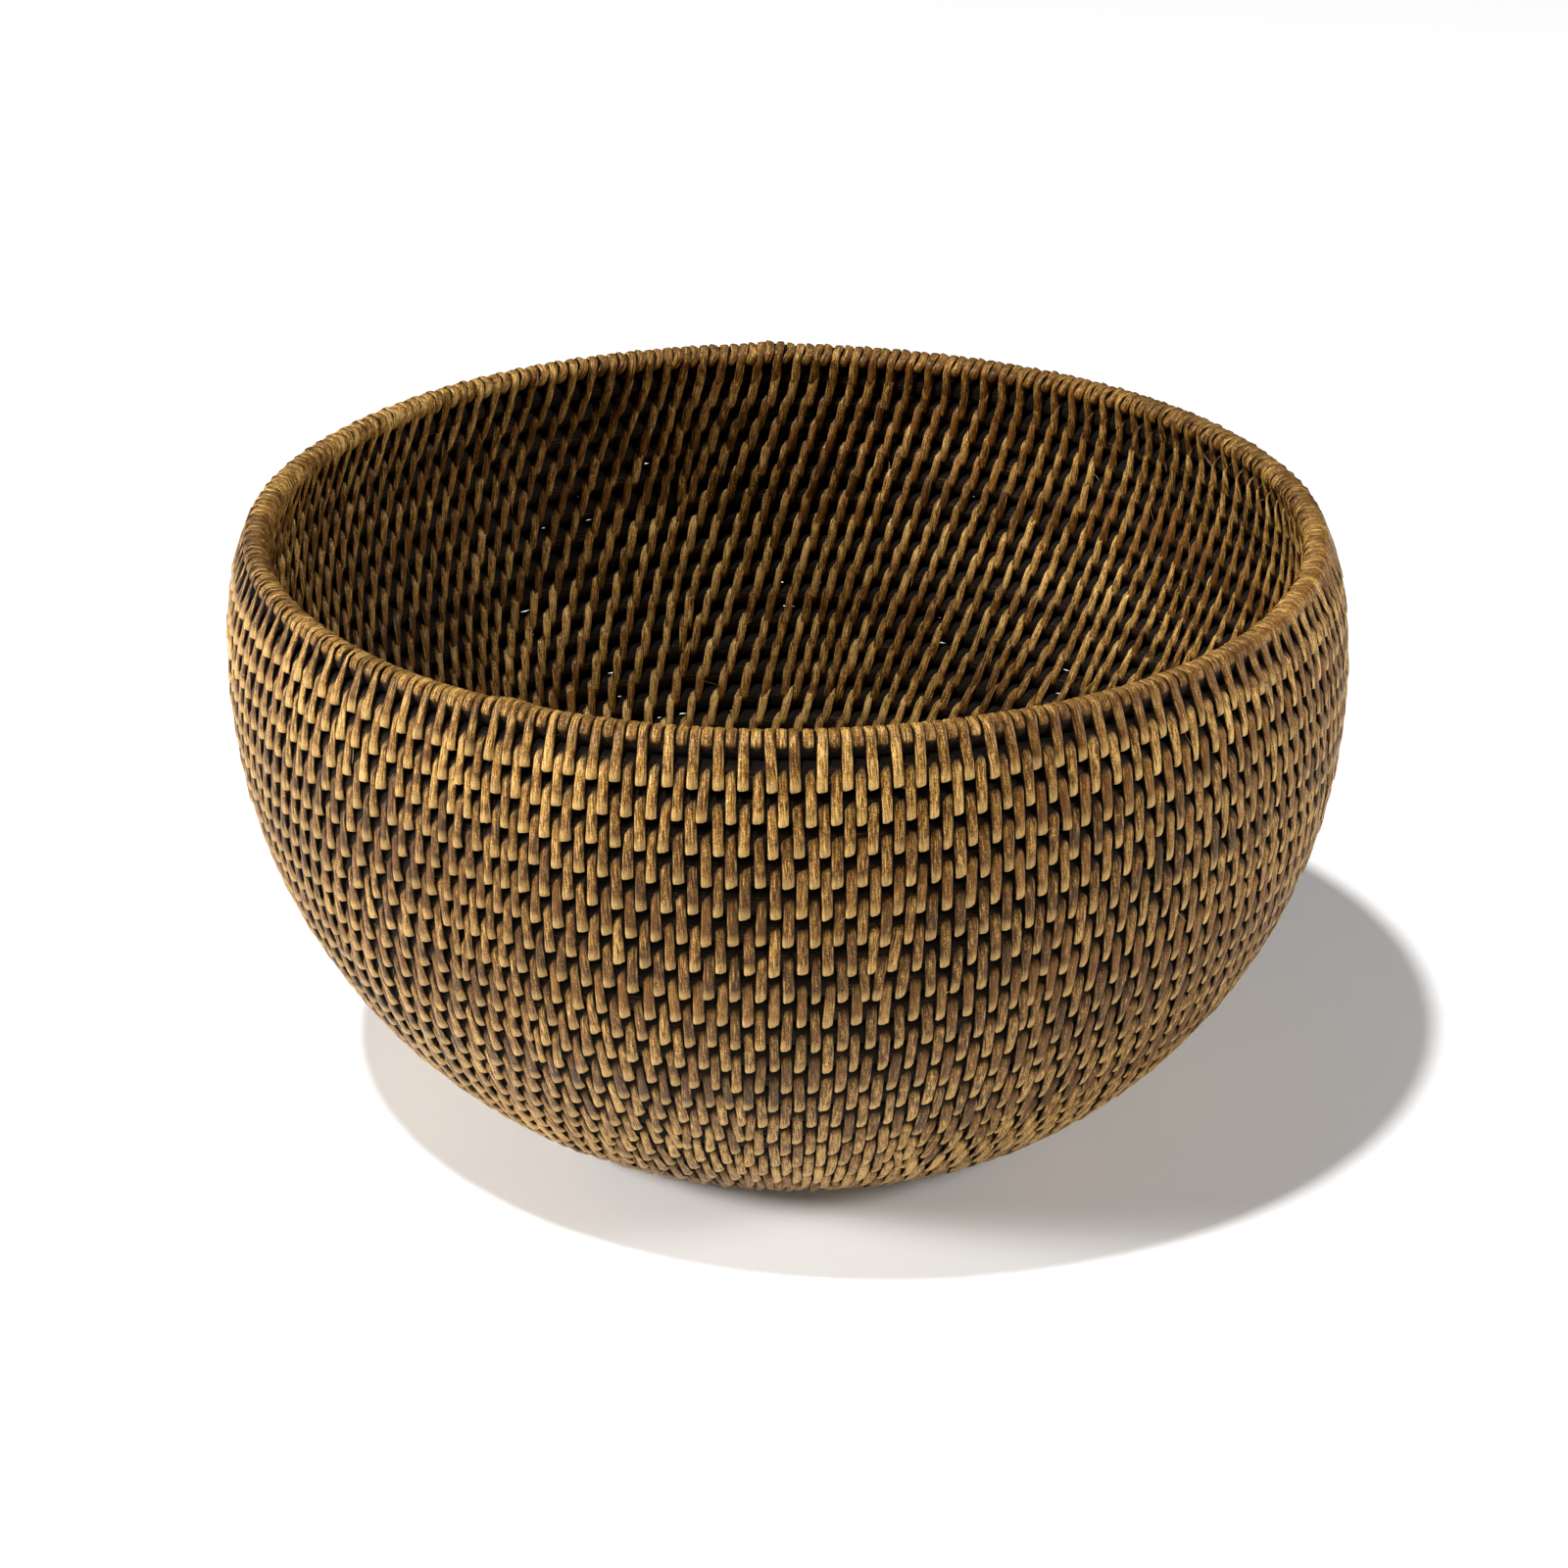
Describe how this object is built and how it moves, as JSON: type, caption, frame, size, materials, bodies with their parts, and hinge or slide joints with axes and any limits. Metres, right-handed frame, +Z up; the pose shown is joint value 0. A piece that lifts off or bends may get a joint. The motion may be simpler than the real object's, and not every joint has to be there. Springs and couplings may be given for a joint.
{
  "type": "woven fruit basket",
  "caption": "Round open bowl basket of coiled rattan, sewn with cane strip, with a flat base, a swelling wall and a bound rim.",
  "frame": {"origin": "centre of the base on the surface that the basket stands on", "axes": "+Z up along the axis of the bowl; +X and +Y are free, because the bowl is round"},
  "size_m": [0.3, 0.3, 0.16],
  "materials": {
    "wall_strip": "golden brown cane strip, sewn in rows, thin satin varnish",
    "base_strip": "reddish golden cane strip, sewn in rows, thin satin varnish",
    "rim_strip": "golden cane strip wound close, satin varnish, worn pale on top",
    "core_cane": "raw fibrous cane, matt, darkened in the grooves"
  },
  "bodies": {
    "root": {"base_start": "base_strip", "base_round_01": "base_strip", "base_round_02": "base_strip", "base_round_03": "base_strip", "base_round_04": "base_strip", "base_round_05": "base_strip", "base_round_06": "base_strip", "base_round_07": "base_strip", "base_round_08": "base_strip", "base_round_09": "base_strip", "base_round_10": "base_strip", "wall_binding_01": "wall_strip", "wall_binding_02": "wall_strip", "wall_binding_03": "wall_strip", "wall_binding_04": "wall_strip", "wall_binding_05": "wall_strip", "wall_binding_06": "wall_strip", "wall_binding_07": "wall_strip", "wall_binding_08": "wall_strip", "wall_binding_09": "wall_strip", "wall_binding_10": "wall_strip", "wall_binding_11": "wall_strip", "wall_binding_12": "wall_strip", "wall_binding_13": "wall_strip", "wall_binding_14": "wall_strip", "wall_binding_15": "wall_strip", "wall_binding_16": "wall_strip", "wall_binding_17": "wall_strip", "wall_binding_18": "wall_strip", "wall_binding_19": "wall_strip", "wall_binding_20": "wall_strip", "wall_binding_21": "wall_strip", "wall_binding_22": "wall_strip", "wall_cane_01": "core_cane", "wall_cane_02": "core_cane", "wall_cane_03": "core_cane", "wall_cane_04": "core_cane", "wall_cane_05": "core_cane", "wall_cane_06": "core_cane", "wall_cane_07": "core_cane", "wall_cane_08": "core_cane", "wall_cane_09": "core_cane", "wall_cane_10": "core_cane", "wall_cane_11": "core_cane", "wall_cane_12": "core_cane", "wall_cane_13": "core_cane", "wall_cane_14": "core_cane", "wall_cane_15": "core_cane", "wall_cane_16": "core_cane", "wall_cane_17": "core_cane", "wall_cane_18": "core_cane", "wall_cane_19": "core_cane", "wall_cane_20": "core_cane", "wall_cane_21": "core_cane", "wall_cane_22": "core_cane", "rim_cane": "core_cane", "rim_binding": "rim_strip"}
  },
  "joints": []
}
